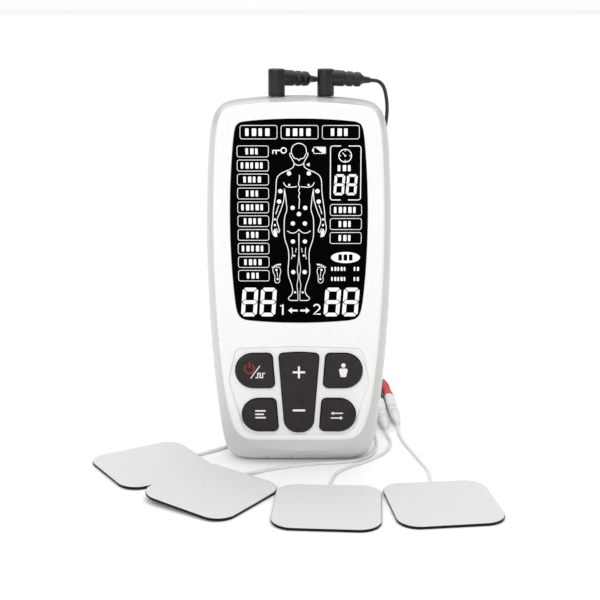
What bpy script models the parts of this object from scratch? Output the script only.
"""Two-channel TENS unit with its leads and four electrode pads.

The unit stands upright on its foot, display towards -Y, +Z up. The origin is the middle of the foot.
Two black leads are plugged into the top. Each ends in two pin plugs, and each pin sits in the
socket of a white pigtail that comes out of one electrode pad. Pads and leads lie on z = 0.
Dimensions are written in millimetres and turned into metres where the meshes are made.
"""
import math

import bmesh
import bpy
import numpy as np
from mathutils import Matrix, Vector

for stale in list(bpy.data.objects):
    bpy.data.objects.remove(stale)

MM = 0.001
GAP = 0.3

# Housing: a barrel outline, widest above mid-height, with a narrower flat face in front.
HEIGHT = 139.5
HALF_WIDTH = 34.45
HALF_DEPTH = 13.5
WALL = 2.0
FOOT_CUT = 1.25
OUTLINE_POINTS = 60
RIM_Y = 4.5
FRONT_Y = -HALF_DEPTH
FRONT_INSIDE_Y = FRONT_Y + WALL + 0.2
BACK_INSIDE_Y = HALF_DEPTH - WALL
FRONT_BOWS = dict(side_bow=0.12, end_bow=0.034, squareness=(6.0, 17.0), widest=0.28)

# Keypad: four D-shaped keys round a tapered rocker.
KEY_TRAVEL = 0.8
KEY_FRONT_Y = FRONT_Y - 0.9
KEY_BACK_Y = -9.9
KEY_FLANGE_Y = FRONT_INSIDE_Y + GAP
KEY_CLEARANCE = 0.35
KEY_SPACING = 2.8
ROCKER_LOW, ROCKER_HIGH = 13.75, 45.25
ROCKER_MIDDLE = (ROCKER_LOW + ROCKER_HIGH) / 2
ROCKER_PIVOT_Y = -10.5
ROCKER_TAPER = 0.077
KEYS = {
    # name: (side, outer x, bottom z, top z)
    "power_mode_key": (-1, 23.7, 31.45, 44.75),
    "program_key": (-1, 21.4, 14.15, 26.95),
    "body_key": (1, 23.7, 31.45, 44.75),
    "channel_key": (1, 21.4, 14.15, 26.95),
}

# Inside, from front to back: display, light guide, board, parts on the board, battery bay.
WINDOW_BOWS = dict(side_bow=0.09, end_bow=0.035, squareness=(18.0, 24.0), widest=0.0)
WINDOW_HALF_WIDTH, WINDOW_LOW, WINDOW_HIGH = 25.1, 56.95, 132.45
WINDOW_THICK = 0.9
WINDOW_FLOOR_Y = FRONT_Y + 1.3
BOARD_FRONT_Y, BOARD_BACK_Y = -4.2, -2.6
MAT_FRONT_Y, MAT_BACK_Y = -5.5, -4.5
DOME_TOP_Y = -8.8
SCREW_PLACES = [(-26.6, 118.0), (26.6, 118.0), (-23.8, 13.0), (23.8, 13.0)]
SCREW_SEAT_Y = 4.9

# Battery bay for three AAA cells, closed by a door hinged at its lower edge.
CELL_RADIUS, CELL_BODY, CELL_NUB = 5.2, 43.5, 1.0
CELL_PITCH = 11.2
CELL_Y = 5.2
BAY_LOW, BAY_HIGH, BAY_HALF_WIDTH = 11.5, 61.5, 17.2
BAY_FLOOR_Y = -0.4
CONTACT_THICK = 0.4
DOOR_HALF_WIDTH, DOOR_LOW, DOOR_HIGH = 20.0, 9.0, 66.0
DOOR_INSIDE_Y = 11.3
DOOR_RADIUS = (HALF_DEPTH - DOOR_INSIDE_Y) / 2

# Jacks and right-angle plugs.
JACK_XS = {"a": -8.2, "b": 9.8}
JACK_BORE, PLUG_PIN_RADIUS = 1.5, 1.25
PLUG_RADIUS, PLUG_LOW, PLUG_TOP = 3.1, 139.6, 149.4
PLUG_ARM_Z, PLUG_ARM_LENGTH, PLUG_ARM_DROOP = 146.3, 16.7, 4.0
PLUG_SWIVELS = {"a": 28.0, "b": 8.0}

# Leads, pigtails, connectors and pads.
LEAD_RADIUS, PIGTAIL_RADIUS = 0.7, 0.6
FLOOR_LEAD, FLOOR_PIGTAIL = 0.72, 0.62
COIL_CENTRES = {"a": (-11.0, 31.0), "b": (15.0, 31.0)}
COIL_OUTER, COIL_INNER, COIL_HEIGHT = 12.3, 4.2, 6.2
SPLITTER_XS = {"a": -23.0, "b": 26.0}
SPLITTER_Y, SPLITTER_Z, SPLITTER_LENGTH = 38.6, 1.75, 7.0
BRANCHES = {1: ("a", -1), 2: ("a", 1), 3: ("b", 1), 4: ("b", -1)}
BRANCH_OFFSET = 0.9
CONNECTOR_Z = 2.3
SOCKET_LENGTH, PIN_PLUG_LENGTH = 35.0, 24.0
CONNECTORS = {
    # pad number: (wire end of the socket, direction towards the pin plug, pin plug's colour)
    1: ((-28.5, 29.0), (0.0, 1.0), "red"),
    2: ((30.6, 26.0), (0.0, 1.0), "black"),
    3: ((35.7, 21.0), (-0.3, 34.0), "black"),
    4: ((41.2, 27.0), (-1.3, 35.0), "red"),
}
PAD_SIDE, PAD_CORNER, PAD_THICK = 38.1, 7.6, 1.3
PADS = {
    # pad number: (x, y, heading of the edge that the wire leaves, tilt), the last two in degrees
    1: (-56.3, -14.2, 32.0, 0.0),
    2: (-31.6, -41.6, 56.0, 2.8),
    3: (10.0, -54.0, 86.5, 0.0),
    4: (50.9, -50.9, 97.0, 0.0),
}

# Routes, each from the piece that the cord leaves: (x, y, z), the points of a smooth curve.
LEAD_ROUTES = {
    "a": [(8.5, 8.9, 144.6), (10.2, 10.2, 143.0), (11.1, 11.8, 140.4), (11.7, 13.7, 136.6),
          (12.8, 15.5, 131.5), (15.8, 16.8, 124.0), (20.0, 17.4, 112.0), (23.2, 17.4, 96.0),
          (24.0, 17.4, 82.0),
          (24.0, 17.4, 65.0), (24.0, 17.4, 45.0), (24.0, 17.4, 25.0), (23.9, 17.3, 11.0),
          (23.2, 17.2, 4.5), (21.4, 17.0, 1.4), (18.6, 16.9, FLOOR_LEAD), (12.0, 16.8, FLOOR_LEAD),
          (4.0, 17.0, FLOOR_LEAD), (-2.0, 17.8, FLOOR_LEAD), (-5.6, 18.4, FLOOR_LEAD)],
    "b": [(29.2, 2.8, 144.7), (31.2, 4.3, 142.8), (32.5, 6.9, 139.0), (33.2, 10.0, 133.8),
          (33.0, 13.4, 128.0), (32.2, 16.0, 120.5), (31.4, 17.6, 110.0), (30.6, 18.6, 95.0),
          (30.0, 19.1, 78.0), (29.6, 19.2, 60.0), (29.2, 19.2, 45.0), (29.0, 19.2, 25.0),
          (28.9, 19.3, 11.0), (28.6, 19.8, 4.5), (28.0, 21.0, 1.6), (27.4, 22.4, FLOOR_LEAD),
          (27.1, 23.8, FLOOR_LEAD)],
}
BRANCH_ROUTES = {
    1: [(-23.2, 49.5), (-19.5, 56.5), (-14.5, 63.5), (-13.0, 72.0), (-15.0, 82.0), (-19.5, 90.5),
        (-25.0, 94.2), (-28.2, 92.5)],
    2: [(-20.5, 48.5), (-12.0, 53.5), (-5.0, 60.5), (-2.0, 70.0), (2.0, 79.0), (10.0, 86.5),
        (19.0, 90.5), (26.5, 91.0), (30.0, 89.4)],
    3: [(26.8, 49.0), (26.4, 57.0), (23.0, 64.5), (20.0, 72.0), (20.5, 80.0), (22.6, 86.5, 1.8),
        (25.4, 91.2, 2.5), (29.5, 93.4, 1.6), (33.6, 91.6), (35.6, 87.0), (35.8, 83.0, 1.4)],
    4: [(24.4, 49.0), (21.6, 54.5), (16.0, 59.5), (13.2, 66.0), (14.0, 73.5), (15.6, 80.0),
        (14.8, 86.5, 1.9), (17.0, 92.2, 2.5), (22.5, 96.4, 1.2), (30.0, 97.6), (36.4, 95.8), (39.0, 91.4),
        (39.0, 88.6, 1.4)],
}
PIGTAIL_ROUTES = {
    1: [(-36.4, -1.2), (-32.5, 2.0), (-28.6, 5.6), (-26.4, 9.6), (-24.4, 13.2), (-20.2, 16.2),
        (-18.6, 19.4), (-21.6, 21.6), (-26.2, 22.0), (-28.3, 24.6, 1.2)],
    2: [(-14.9, -20.8), (-4.3, -16.0), (6.0, -13.0), (14.0, -11.6), (20.5, -10.4), (26.0, -6.8),
        (29.4, -1.2), (31.0, 7.0), (31.3, 14.5), (30.9, 21.0, 1.2)],
    3: [(11.9, -30.5), (14.0, -23.0), (18.2, -17.0), (24.9, -11.4), (30.9, -5.0), (34.6, 0.7),
        (36.5, 7.0), (36.9, 13.0), (36.1, 17.5, 1.2)],
    4: [(48.9, -26.5), (48.9, -19.9), (47.1, -11.3), (44.4, 0.7), (42.4, 10.0), (41.4, 18.0),
        (41.1, 23.0, 1.2)],
}

COLOURS = {
    # material: (colour, roughness, metallic)
    "pearl_white": ((0.86, 0.85, 0.84), 0.30, 0.0),
    "window_black": ((0.010, 0.010, 0.011), 0.06, 0.0),
    "lcd_glass": ((0.05, 0.06, 0.07), 0.10, 0.0),
    "light_guide": ((0.80, 0.84, 0.86), 0.20, 0.0),
    "elastomer_pink": ((0.75, 0.45, 0.42), 0.70, 0.0),
    "board_green": ((0.02, 0.18, 0.07), 0.45, 0.0),
    "key_rubber": ((0.032, 0.027, 0.024), 0.55, 0.0),
    "silicone_grey": ((0.55, 0.55, 0.53), 0.70, 0.0),
    "screw_steel": ((0.62, 0.62, 0.60), 0.32, 1.0),
    "jack_black": ((0.02, 0.02, 0.02), 0.45, 0.0),
    "transformer_yellow": ((0.72, 0.55, 0.12), 0.50, 0.0),
    "chip_black": ((0.015, 0.015, 0.016), 0.60, 0.0),
    "cell_jacket": ((0.16, 0.24, 0.34), 0.35, 0.2),
    "contact_nickel": ((0.70, 0.68, 0.62), 0.28, 1.0),
    "plug_black": ((0.045, 0.045, 0.045), 0.50, 0.0),
    "plug_brass": ((0.80, 0.72, 0.52), 0.22, 1.0),
    "pin_red": ((0.58, 0.05, 0.03), 0.42, 0.0),
    "socket_white": ((0.78, 0.78, 0.76), 0.45, 0.0),
    "lead_black": ((0.025, 0.025, 0.025), 0.55, 0.0),
    "pigtail_white": ((0.75, 0.75, 0.74), 0.50, 0.0),
    "pad_laminate": ((0.78, 0.78, 0.77), 0.90, 0.0),
}


# ---- meshes ----

def material(name):
    """The Principled material of that name, one for each sub-part."""
    colour, roughness, metallic = COLOURS[name]
    made = bpy.data.materials.new(name)
    made.use_nodes = True
    shader = made.node_tree.nodes["Principled BSDF"]
    shader.inputs["Base Color"].default_value = (*colour, 1.0)
    shader.inputs["Roughness"].default_value = roughness
    shader.inputs["Metallic"].default_value = metallic
    return made


def place(name, mesh, finish, origin=(0.0, 0.0, 0.0)):
    """An object of that mesh, its origin moved to a point given in millimetres."""
    origin = Vector(origin) * MM
    mesh.transform(Matrix.Translation(-origin))
    if finish:
        mesh.materials.append(material(finish))
    mesh.shade_smooth()
    mesh.set_sharp_from_angle(angle=math.radians(35))
    thing = bpy.data.objects.new(name, mesh)
    thing.location = origin
    bpy.context.collection.objects.link(thing)
    return thing


def loft(name, rings, finish=None, origin=(0.0, 0.0, 0.0), endless=False):
    """A solid through rings of equally many points, capped unless its rings come round again."""
    work = bmesh.new()
    rows = [[work.verts.new(Vector(point) * MM) for point in ring] for ring in rings]
    for row, following in zip(rows, rows[1:] + rows[:1] if endless else rows[1:]):
        for index in range(len(row)):
            after = (index + 1) % len(row)
            work.faces.new((row[index], row[after], following[after], following[index]))
    if not endless:
        work.faces.new(rows[0])
        work.faces.new(rows[-1])
    bmesh.ops.recalc_face_normals(work, faces=work.faces)
    mesh = bpy.data.meshes.new(name)
    work.to_mesh(mesh)
    work.free()
    return place(name, mesh, finish, origin)


def at_depth(outline, y):
    """An outline of (x, z) points, stood at that depth."""
    return [(x, y, z) for x, z in outline]


def slab(name, outline, front_y, back_y, finish=None, origin=(0.0, 0.0, 0.0)):
    """An outline extruded from front to back."""
    return loft(name, [at_depth(outline, front_y), at_depth(outline, back_y)], finish, origin)


def block(name, low, high, finish=None):
    """A box between two corners."""
    outline = [(low[0], low[2]), (high[0], low[2]), (high[0], high[2]), (low[0], high[2])]
    return slab(name, outline, low[1], high[1], finish)


def turned(name, profile, base, direction, sides=16, finish=None):
    """A solid turned about a line: profile is (distance along it, radius)."""
    axis = Vector(direction).normalized()
    across = axis.orthogonal().normalized()
    up = axis.cross(across)
    rings = []
    for along, radius in profile:
        centre = Vector(base) + axis * along
        turns = [2 * math.pi * step / sides for step in range(sides)]
        rings.append([centre + (across * math.cos(turn) + up * math.sin(turn)) * radius for turn in turns])
    return loft(name, rings, finish)


def change(target, tool, operation):
    """Cut the tool out of the target, or join it on, and leave the tool as a hidden guide."""
    step = target.modifiers.new(tool.name, "BOOLEAN")
    step.operation = operation
    step.solver = "EXACT"
    step.object = tool
    tool.hide_render = True
    tool.display_type = "WIRE"


def cut(target, *tools):
    for tool in tools:
        change(target, tool, "DIFFERENCE")


def join(target, *tools):
    for tool in tools:
        change(target, tool, "UNION")


# ---- outlines ----

def resampled(points, count):
    """That many points round a closed outline, shared between its length and its bends."""
    points = np.array(points)
    steps = np.roll(points, -1, axis=0) - points
    length = np.linalg.norm(steps, axis=1)
    heading = np.unwrap(np.arctan2(steps[:, 1], steps[:, 0]))
    bend = np.abs(np.diff(heading, append=heading[0] + 2 * math.pi))
    share = np.concatenate([[0.0], np.cumsum(length / length.sum() + bend / bend.sum())])
    wanted = np.arange(count) / count * share[-1]
    closed = np.vstack([points, points[:1]])
    return [(float(np.interp(at, share, closed[:, 0])), float(np.interp(at, share, closed[:, 1])))
            for at in wanted]


def barrel(half_width, low, high, side_bow=0.118, end_bow=0.039, squareness=(16.0, 14.0), widest=0.2,
           count=OUTLINE_POINTS):
    """A rounded rectangle whose sides and ends bow outwards, from the middle of its bottom edge.

    squareness says how tight its lower and its upper corners are. widest says how far above the
    middle it is widest, in half heights.
    """
    middle, half_height = (low + high) / 2, (high - low) / 2
    points = []
    for step in range(1440):
        angle = math.tau * step / 1440 - math.pi / 2
        power = squareness[0] if math.sin(angle) < 0 else squareness[1]
        reach = (abs(math.cos(angle)) ** power + abs(math.sin(angle)) ** power) ** (-1 / power)
        across, up = reach * math.cos(angle), reach * math.sin(angle)
        points.append((half_width * across * (1 - side_bow * (up - widest) ** 2),
                       middle + half_height * up * (1 - end_bow * across * across)))
    return resampled(points, count)


def rounded(corners, steps=5):
    """A polygon of (x, z, radius) corners with each corner rounded off in that many steps."""
    points = []
    for index, (x, z, radius) in enumerate(corners):
        corner = Vector((x, z))
        before = (Vector(corners[index - 1][:2]) - corner).normalized()
        after = (Vector(corners[(index + 1) % len(corners)][:2]) - corner).normalized()
        half = before.angle(after) / 2
        centre = corner + (before + after).normalized() * radius / math.sin(half)
        start = corner + before * radius / math.tan(half) - centre
        end = corner + after * radius / math.tan(half) - centre
        turn = start.angle_signed(end)
        for step in range(steps + 1):
            spin = -turn * step / steps
            points.append((centre.x + start.x * math.cos(spin) - start.y * math.sin(spin),
                           centre.y + start.x * math.sin(spin) + start.y * math.cos(spin)))
    return points


def rectangle(low_x, low_z, high_x, high_z, radius=0.5, steps=3):
    return rounded([(low_x, low_z, radius), (high_x, low_z, radius),
                    (high_x, high_z, radius), (low_x, high_z, radius)], steps)


def window_outline(grow=0.0):
    return barrel(WINDOW_HALF_WIDTH + grow, WINDOW_LOW - grow, WINDOW_HIGH + grow, **WINDOW_BOWS)


def rocker_half_width(z):
    """The rocker narrows downwards, and the keys beside it follow its flanks."""
    return 7.5 - ROCKER_TAPER * (ROCKER_HIGH - z)


def rocker_outline(grow=0.0):
    low, high = ROCKER_LOW - grow, ROCKER_HIGH + grow
    bottom, top = rocker_half_width(ROCKER_LOW) + grow, rocker_half_width(ROCKER_HIGH) + grow
    return rounded([(-bottom, low, bottom * 0.95), (bottom, low, bottom * 0.95),
                    (top, high - 0.6, 1.6 + grow), (0.0, high, 30.0), (-top, high - 0.6, 1.6 + grow)])


def key_outline(side, outer, low, high, grow=0.0):
    """A D: a half-round outer end, and an inner edge that runs parallel to the rocker's flank."""
    reach = (high - low) / 2 + grow
    inner = [rocker_half_width(z) + KEY_SPACING - grow for z in (low, high)]
    corners = [(inner[0], low - grow, 1.7 + grow), (outer + grow, low - grow, reach * 0.97),
               (outer + grow, high + grow, reach * 0.97), (inner[1], high + grow, 1.7 + grow)]
    outline = rounded(corners)
    if side < 0:
        outline = [(-x, z) for x, z in reversed(outline)]
    return outline


def between(first, second, share):
    return [(a[0] + (b[0] - a[0]) * share, a[1] + (b[1] - a[1]) * share) for a, b in zip(first, second)]


def shell_rings(outer, face, rim_y, face_y, steps=4):
    """Rings from a rim at the parting plane, straight back, then round to a flat face."""
    straight = math.copysign(RIM_Y, face_y)
    rings = [at_depth(outer, rim_y), at_depth(outer, straight)]
    for step in range(1, steps + 1):
        turn = math.pi / 2 * step / steps
        share, depth = 1 - math.cos(turn), straight + (face_y - straight) * math.sin(turn)
        rings.append(at_depth(between(outer, face, share), depth))
    return rings


# ---- housing ----

# The bowed lower end is cut off level, which leaves a flat foot about 39 mm wide.
OUTER = [(x, max(z, 0.0)) for x, z in barrel(HALF_WIDTH, -FOOT_CUT, HEIGHT)]
INNER = barrel(HALF_WIDTH - WALL, WALL, HEIGHT - WALL)


def screw_holes(name, radius, low_y, high_y):
    return [turned(f"{name}_{index}", [(low_y, radius), (high_y, radius)], (x, 0.0, z), (0, 1, 0), 12)
            for index, (x, z) in enumerate(SCREW_PLACES)]


def jack_holes(name):
    return [turned(f"{name}_{label}", [(134.0, 3.25), (144.0, 3.25)], (x, 0.0, 0.0), (0, 0, 1), 20)
            for label, x in JACK_XS.items()]


def key_openings():
    openings = [slab(f"opening_{name}", key_outline(*place_of, grow=KEY_CLEARANCE), -15.0, -9.0)
                for name, place_of in KEYS.items()]
    return openings + [slab("opening_rocker", rocker_outline(KEY_CLEARANCE), -15.0, -9.0)]


def front_housing():
    face = barrel(30.75, 6.3, 138.2, **FRONT_BOWS)
    inner_face = barrel(29.0, 8.3, 136.2, **FRONT_BOWS)
    outside = shell_rings(OUTER, face, -GAP / 2, FRONT_Y)
    inside = shell_rings(INNER, inner_face, -GAP / 2, FRONT_INSIDE_Y)
    shell = loft("front_housing", outside[::-1] + inside, "pearl_white")
    join(shell, *screw_holes("front_boss", 2.5, -11.8, -0.45))
    cut(shell, *screw_holes("front_pilot", 1.3, -10.5, 3.0))
    window = slab("window_seat", window_outline(GAP), FRONT_Y - 2.0, WINDOW_FLOOR_Y)
    aperture = slab("window_aperture", rectangle(-22.3, 59.75, 22.3, 129.75, 2.0), -13.0, -9.0)
    surround = rounded([(-20.3, 13.15, 6.0), (20.3, 13.15, 6.0), (26.3, 34.25, 10.0), (23.5, 46.65, 3.0),
                        (0.0, 47.45, 60.0), (-23.5, 46.65, 3.0), (-26.3, 34.25, 10.0)])
    recess = slab("keypad_recess", surround, FRONT_Y - 2.0, FRONT_Y + 0.5)
    cut(shell, window, aperture, recess, *key_openings(), *jack_holes("front_jack_hole"))
    return shell


def rear_housing():
    face = barrel(30.6, 4.5, 135.5)
    inner_face = barrel(28.6, 6.6, 133.4)
    outside = shell_rings(OUTER, face, GAP / 2, HALF_DEPTH)
    inside = shell_rings(INNER, inner_face, GAP / 2, BACK_INSIDE_Y)
    shell = loft("rear_housing", outside[::-1] + inside, "pearl_white")
    ledge = block("door_ledge", (-22.5, 9.5, 6.5), (22.5, 13.0, 68.5))
    well = block("battery_well", (-BAY_HALF_WIDTH - 1.3, BAY_FLOOR_Y - 1.2, BAY_LOW - 1.2),
                 (BAY_HALF_WIDTH + 1.3, 10.0, BAY_HIGH + 1.2))
    join(shell, ledge, well, *screw_holes("rear_boss", 3.4, 0.45, 12.5))
    bay = block("battery_bay", (-BAY_HALF_WIDTH, BAY_FLOOR_Y, BAY_LOW), (BAY_HALF_WIDTH, 15.0, BAY_HIGH))
    door_seat = block("door_seat", (-DOOR_HALF_WIDTH - GAP, DOOR_INSIDE_Y - GAP, DOOR_LOW - GAP),
                      (DOOR_HALF_WIDTH + GAP, 15.0, DOOR_HIGH + GAP))
    cut(shell, bay, door_seat, *screw_holes("rear_bore", 1.3, -1.0, 8.0),
        *screw_holes("rear_counterbore", 2.6, SCREW_SEAT_Y, 15.0), *jack_holes("rear_jack_hole"))
    return shell


def housing_screws():
    profile = [(-8.5, 0.5), (-7.8, 1.0), (SCREW_SEAT_Y + GAP, 1.0), (SCREW_SEAT_Y + GAP, 2.2),
               (SCREW_SEAT_Y + 1.7, 2.0), (SCREW_SEAT_Y + 2.1, 1.2)]
    for index, (x, z) in enumerate(SCREW_PLACES):
        turned(f"housing_screw_{index + 1}", profile, (x, 0.0, z), (0, 1, 0), 12, "screw_steel")


def battery_door():
    """A flat plate whose lower edge is a half-round about the hinge axis."""
    hinge_y, hinge_z = HALF_DEPTH - DOOR_RADIUS, DOOR_LOW + DOOR_RADIUS
    section = [(HALF_DEPTH, DOOR_HIGH - 1.5), (HALF_DEPTH - 0.4, DOOR_HIGH), (DOOR_INSIDE_Y, DOOR_HIGH)]
    for step in range(9):
        turn = math.pi + math.pi * step / 8
        section.append((hinge_y + DOOR_RADIUS * math.cos(turn), hinge_z + DOOR_RADIUS * math.sin(turn)))
    rings = [[(x, y, z) for y, z in section] for x in (-DOOR_HALF_WIDTH, DOOR_HALF_WIDTH)]
    door = loft("battery_door", rings, "pearl_white", (0.0, hinge_y, hinge_z))
    for index in range(3):
        middle = (0.0, HALF_DEPTH + 0.3, 57.5 + 2.4 * index)
        cut(door, turned(f"door_grip_{index}", [(-7.0, 0.8), (7.0, 0.8)], middle, (1, 0, 0), 12))
    return door


# ---- display and keys ----

def display():
    window_back = WINDOW_FLOOR_Y - GAP
    slab("display_window", window_outline(), window_back - WINDOW_THICK, window_back, "window_black")
    slab("lcd_panel", rectangle(-23.5, 59.25, 23.5, 130.25, 2.5), -11.0, -9.0, "lcd_glass")
    slab("lcd_light_guide", rectangle(-22.5, 65.25, 22.5, 130.25, 0.6), -8.7, -6.5, "light_guide")
    slab("lcd_connector", rectangle(-20.0, 60.25, 20.0, 62.85, 0.4), -8.7, -4.5, "elastomer_pink")


def keys():
    """Each key has a flange behind the panel that keeps it from coming out."""
    for name, place_of in KEYS.items():
        outline, flange = key_outline(*place_of), key_outline(*place_of, grow=0.8)
        face = key_outline(*place_of, grow=-0.4)
        rings = [at_depth(face, KEY_FRONT_Y), at_depth(outline, KEY_FRONT_Y + 0.4),
                 at_depth(outline, KEY_FLANGE_Y), at_depth(flange, KEY_FLANGE_Y),
                 at_depth(flange, KEY_BACK_Y)]
        middle_z = (place_of[2] + place_of[3]) / 2
        loft(name, rings, "key_rubber", (place_of[0] * 16.0, KEY_BACK_Y, middle_z))
    rocker_back = KEY_BACK_Y + 0.3
    rings = [at_depth(rocker_outline(-0.4), KEY_FRONT_Y), at_depth(rocker_outline(), KEY_FRONT_Y + 0.4),
             at_depth(rocker_outline(), rocker_back)]
    rocker = loft("intensity_rocker", rings, "key_rubber", (0.0, ROCKER_PIVOT_Y, ROCKER_MIDDLE))
    join(rocker, block("rocker_ears", (-8.2, KEY_FLANGE_Y, ROCKER_MIDDLE - 2.5),
                       (8.2, rocker_back - 0.1, ROCKER_MIDDLE + 2.5)))


def keypad_mat():
    """One silicone sheet on the board, with a dome behind each key and each end of the rocker."""
    mat = slab("keypad_mat", rectangle(-22.8, 16.85, 22.8, 46.25, 2.0), MAT_FRONT_Y, MAT_BACK_Y,
               "silicone_grey")
    spots = [(side * 16.0, (low + high) / 2) for side, outer, low, high in KEYS.values()]
    spots += [(0.0, ROCKER_MIDDLE - 10.0), (0.0, ROCKER_MIDDLE + 10.0)]
    profile = [(MAT_FRONT_Y + 0.4, 4.2), (MAT_FRONT_Y - 0.4, 4.2), (-7.4, 2.8), (DOME_TOP_Y, 2.5)]
    for index, (x, z) in enumerate(spots):
        join(mat, turned(f"mat_dome_{index}", profile, (x, 0.0, z), (0, 1, 0), 10))


# ---- electronics and batteries ----

def main_board():
    outline = barrel(30.4, 4.8, 135.2, count=48)
    board = slab("main_board", outline, BOARD_FRONT_Y, BOARD_BACK_Y, "board_green")
    cut(board, *screw_holes("board_notch", 3.0, BOARD_FRONT_Y - 1.0, BOARD_BACK_Y + 1.0))


def board_parts():
    top = BOARD_BACK_Y + GAP
    for label, x in (("a", -12.0), ("b", 12.0)):
        core = block(f"pulse_transformer_{label}", (x - 6.5, top, 98.0), (x + 6.5, top + 10.5, 109.0),
                     "transformer_yellow")
        bobbin_low, bobbin_high = (x - 4.0, top + 1.0, 95.5), (x + 4.0, top + 9.5, 111.5)
        join(core, block(f"transformer_bobbin_{label}", bobbin_low, bobbin_high))
    block("controller_chip", (-6.0, top, 76.0), (6.0, top + 1.6, 88.0), "chip_black")


def output_jacks():
    """A jack on the board's back, its nose in the housing's hole, with a blind bore for the plug."""
    for label, x in JACK_XS.items():
        jack = block(f"output_jack_{label}", (x - 3.6, BOARD_BACK_Y + GAP, 125.5), (x + 3.6, 3.7, 136.6),
                     "jack_black")
        join(jack, turned(f"jack_nose_{label}", [(136.0, 2.9), (139.0, 2.9)], (x, 0.0, 0.0), (0, 0, 1), 20))
        cut(jack, turned(f"jack_bore_{label}", [(127.0, JACK_BORE), (141.0, JACK_BORE)], (x, 0.0, 0.0),
                         (0, 0, 1), 16))


def battery_cells():
    """The middle cell is turned round, so that the three are in series."""
    profile = [(0.0, 1.9), (CELL_NUB, 1.9), (CELL_NUB, CELL_RADIUS - 0.3), (CELL_NUB + 0.3, CELL_RADIUS),
               (CELL_NUB + CELL_BODY, CELL_RADIUS)]
    for index in range(3):
        x = (index - 1) * CELL_PITCH
        nub_end, towards_base = (BAY_LOW + 1.0, 1) if index == 1 else (BAY_HIGH - 1.0, -1)
        turned(f"battery_cell_{index + 1}", profile, (x, CELL_Y, nub_end), (0, 0, towards_base), 18,
               "cell_jacket")


def contact(name, first, last, low):
    """A spring-steel strip behind the ends of the cells from first to last."""
    return block(name, (first * CELL_PITCH - 4.2, 1.2, low),
                 (last * CELL_PITCH + 4.2, 9.2, low + CONTACT_THICK), "contact_nickel")


def contact_spring(strip, cell, low, rise):
    """A cone spring on a strip, for a cell's flat end."""
    profile = [(0.0, 3.6), (0.6, 3.6), (1.2, 3.1), (1.8, 3.1), (2.4, 2.5), (3.0, 2.5), (3.2, 1.9)]
    base = (cell * CELL_PITCH, CELL_Y, low + CONTACT_THICK / 2)
    join(strip, turned(f"{strip.name}_spring", profile, base, (0, 0, rise), 10))


def battery_contacts():
    lower, upper = BAY_LOW + GAP, BAY_HIGH - GAP - CONTACT_THICK
    contact("battery_contact_positive", -1, -1, upper)
    contact_spring(contact("battery_link_lower", -1, 0, lower), -1, lower, 1)
    contact_spring(contact("battery_link_upper", 0, 1, upper), 0, upper, -1)
    contact_spring(contact("battery_contact_negative", 1, 1, lower), 1, lower, 1)


# ---- plugs, leads, connectors and pads ----

def arm_direction(label):
    swivel, droop = math.radians(PLUG_SWIVELS[label]), math.radians(PLUG_ARM_DROOP)
    level = math.cos(droop)
    return Vector((math.cos(swivel) * level, math.sin(swivel) * level, -math.sin(droop)))


def arm_end(label):
    return Vector((JACK_XS[label], 0.0, PLUG_ARM_Z)) + arm_direction(label) * PLUG_ARM_LENGTH


def plugs():
    """A moulded right-angle plug: an upright body and an arm that ends in a ribbed strain relief."""
    arm = [(-1.5, 2.6), (0.0, 3.0), (7.0, 2.95), (7.4, 2.6)]
    for rib in range(2):
        start = 7.8 + 2.2 * rib
        arm += [(start, 2.5), (start + 0.1, 2.85), (start + 1.4, 2.8), (start + 1.5, 2.4)]
    arm += [(12.6, 2.3), (13.6, 1.5), (PLUG_ARM_LENGTH, 1.05)]
    for label, x in JACK_XS.items():
        body = [(PLUG_LOW, PLUG_RADIUS - 0.2), (PLUG_LOW + 0.3, PLUG_RADIUS), (PLUG_TOP - 0.5, PLUG_RADIUS),
                (PLUG_TOP, PLUG_RADIUS - 0.5)]
        plug = turned(f"lead_{label}_plug", body, (x, 0.0, 0.0), (0, 0, 1), 16, "plug_black")
        join(plug, turned(f"plug_arm_{label}", arm, (x, 0.0, PLUG_ARM_Z), arm_direction(label), 12))
        pin = [(127.6, 0.6), (128.4, 1.1), (129.2, 0.9), (130.0, PLUG_PIN_RADIUS),
               (PLUG_LOW - GAP, PLUG_PIN_RADIUS)]
        turned(f"lead_{label}_plug_pin", pin, (x, 0.0, 0.0), (0, 0, 1), 12, "plug_brass")


def smooth(points, spacing):
    """Points that far apart along a smooth curve through the route's own points."""
    points = [Vector(point) for point in points]
    padded = [points[0] * 2 - points[1]] + points + [points[-1] * 2 - points[-2]]
    dense = [points[0]]
    for before, start, end, after in zip(padded, padded[1:], padded[2:], padded[3:]):
        knots = [0.0]
        for first, second in ((before, start), (start, end), (end, after)):
            knots.append(knots[-1] + max((second - first).length, 1e-6) ** 0.5)
        for step in range(1, 25):
            at = knots[1] + (knots[2] - knots[1]) * step / 24
            a = [before.lerp(start, at / knots[1]),
                 start.lerp(end, (at - knots[1]) / (knots[2] - knots[1])),
                 end.lerp(after, (at - knots[2]) / (knots[3] - knots[2]))]
            b = [a[0].lerp(a[1], at / knots[2]), a[1].lerp(a[2], (at - knots[1]) / (knots[3] - knots[1]))]
            dense.append(b[0].lerp(b[1], (at - knots[1]) / (knots[2] - knots[1])))
    travelled = np.concatenate([[0.0], np.cumsum([(b - a).length for a, b in zip(dense, dense[1:])])])
    count = max(2, round(travelled[-1] / spacing))
    wanted = np.linspace(0.0, travelled[-1], count + 1)
    columns = [np.interp(wanted, travelled, [point[axis] for point in dense]) for axis in range(3)]
    return [Vector(point) for point in zip(*columns)]


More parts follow.
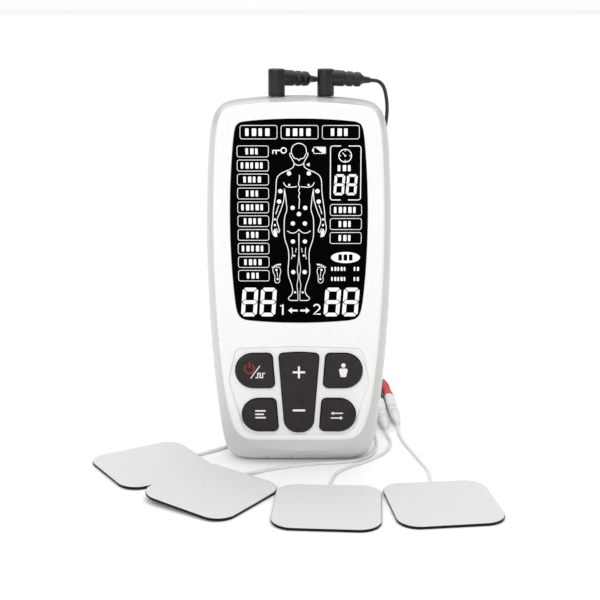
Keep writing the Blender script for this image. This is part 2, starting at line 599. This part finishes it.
def tube(name, route, radius, finish):
    """A cord as a round tube along its route."""
    points = smooth(route, 6.0 * radius)
    curve = bpy.data.curves.new(name, "CURVE")
    curve.dimensions = "3D"
    curve.bevel_depth = radius * MM
    curve.bevel_resolution = 2
    curve.render_resolution_u = 0
    curve.use_fill_caps = True
    spline = curve.splines.new("POLY")
    spline.points.add(len(points) - 1)
    for target, point in zip(spline.points, points):
        point.z = max(point.z, radius + 0.02)
        target.co = (*(point * MM), 1.0)
    curve.materials.append(material(finish))
    bpy.context.collection.objects.link(bpy.data.objects.new(name, curve))


def on_floor(route, height):
    return [point if len(point) == 3 else (*point, height) for point in route]


def connector_points(number):
    """Where the pigtail meets the socket, where socket and pin plug meet, and where the lead leaves."""
    (x, y), heading, _ = CONNECTORS[number]
    start = Vector((x, y, CONNECTOR_Z))
    along = Vector((*heading, 0.0)).normalized()
    seam = start + along * SOCKET_LENGTH
    return start, seam, seam + along * (GAP + PIN_PLUG_LENGTH), along


def connectors():
    """A white socket on each pigtail, with a red or black pin plug pushed into it."""
    socket = [(0.0, 0.85), (3.0, 1.1), (6.0, 1.7), (9.0, 2.0)]
    for groove in range(2):
        start = 11.0 + 5.0 * groove
        socket += [(start, 2.05), (start + 0.2, 1.7), (start + 2.3, 1.7), (start + 2.5, 2.05)]
    socket += [(24.0, 2.15), (SOCKET_LENGTH - 0.4, 2.15), (SOCKET_LENGTH, 1.9)]
    pin = [(0.0, 1.9), (0.4, 2.2), (3.0, 2.2), (4.0, 1.75), (14.0, 1.75), (15.0, 1.95), (20.0, 1.6),
           (PIN_PLUG_LENGTH, 0.95)]
    for number, (_, _, colour) in CONNECTORS.items():
        start, seam, _, along = connector_points(number)
        turned(f"pad_{number}_socket", socket, start, along, 10, "socket_white")
        finish = "pin_red" if colour == "red" else "plug_black"
        turned(f"pin_plug_{number}", pin, seam + along * GAP, along, 10, finish)


def coils_and_splitters():
    """The stored part of each lead as a ring, and the moulding where it divides in two."""
    section = [(COIL_OUTER, 0.6), (COIL_OUTER, COIL_HEIGHT - 0.6), (COIL_OUTER - 1.0, COIL_HEIGHT),
               (COIL_INNER + 1.0, COIL_HEIGHT), (COIL_INNER, COIL_HEIGHT - 0.6), (COIL_INNER, 0.6),
               (COIL_INNER + 1.0, 0.05), (COIL_OUTER - 1.0, 0.05)]
    for label, (x, y) in COIL_CENTRES.items():
        rings = []
        for step in range(20):
            turn = math.tau * step / 20
            across, along = math.cos(turn), math.sin(turn)
            rings.append([(x + radius * across, y + radius * along, z) for radius, z in section])
        loft(f"lead_{label}_coil", rings, "lead_black", endless=True)
    for label, x in SPLITTER_XS.items():
        profile = [(0.0, 1.0), (1.2, 1.65), (SPLITTER_LENGTH - 0.5, 1.65), (SPLITTER_LENGTH, 1.4)]
        turned(f"lead_{label}_splitter", profile, (x, SPLITTER_Y, SPLITTER_Z), (0, 1, 0), 12, "plug_black")


def leads():
    """Two trunks from the plugs to their coils, and four branches from the splitters to the pin plugs."""
    for label, route in LEAD_ROUTES.items():
        start = arm_end(label) + arm_direction(label) * GAP
        tube(f"lead_{label}_cord", [start] + route, LEAD_RADIUS, "lead_black")
    for number, route in BRANCH_ROUTES.items():
        label, side = BRANCHES[number]
        start = (SPLITTER_XS[label] + side * BRANCH_OFFSET, SPLITTER_Y + SPLITTER_LENGTH + GAP, 1.4)
        _, _, end, along = connector_points(number)
        route = [start] + on_floor(route, FLOOR_LEAD) + [end + along * GAP]
        tube(f"branch_{number}_cord", route, LEAD_RADIUS, "lead_black")


def pad_frame(number):
    """The pad's own frame: +X points at the edge that the wire leaves, z = 0 is its underside."""
    x, y, turn, tilt = PADS[number]
    stand = Matrix.Translation((x, y, 0.0)) @ Matrix.Rotation(math.radians(turn), 4, "Z")
    low_edge = Matrix.Translation((0.0, -PAD_SIDE / 2, 0.0))
    return stand @ low_edge @ Matrix.Rotation(math.radians(tilt), 4, "X") @ low_edge.inverted()


def pads():
    """Four electrode pads. The second rests with one edge on the corner of the first."""
    half = PAD_SIDE / 2
    outline = rectangle(-half, -half, half, half, PAD_CORNER, 5)
    for number in PADS:
        frame = pad_frame(number)
        rings = [[frame @ Vector((x, y, height)) for x, y in outline] for height in (0.0, PAD_THICK)]
        loft(f"pad_{number}", rings, "pad_laminate")
        edge = frame @ Vector((half + 2 * GAP, 0.0, PAD_THICK / 2))
        end, _, _, along = connector_points(number)
        route = [edge] + on_floor(PIGTAIL_ROUTES[number], FLOOR_PIGTAIL) + [end - along * GAP]
        tube(f"pad_{number}_wire", route, PIGTAIL_RADIUS, "pigtail_white")


front_housing()
rear_housing()
housing_screws()
battery_door()
display()
keys()
keypad_mat()
main_board()
board_parts()
output_jacks()
battery_cells()
battery_contacts()
plugs()
connectors()
coils_and_splitters()
leads()
pads()
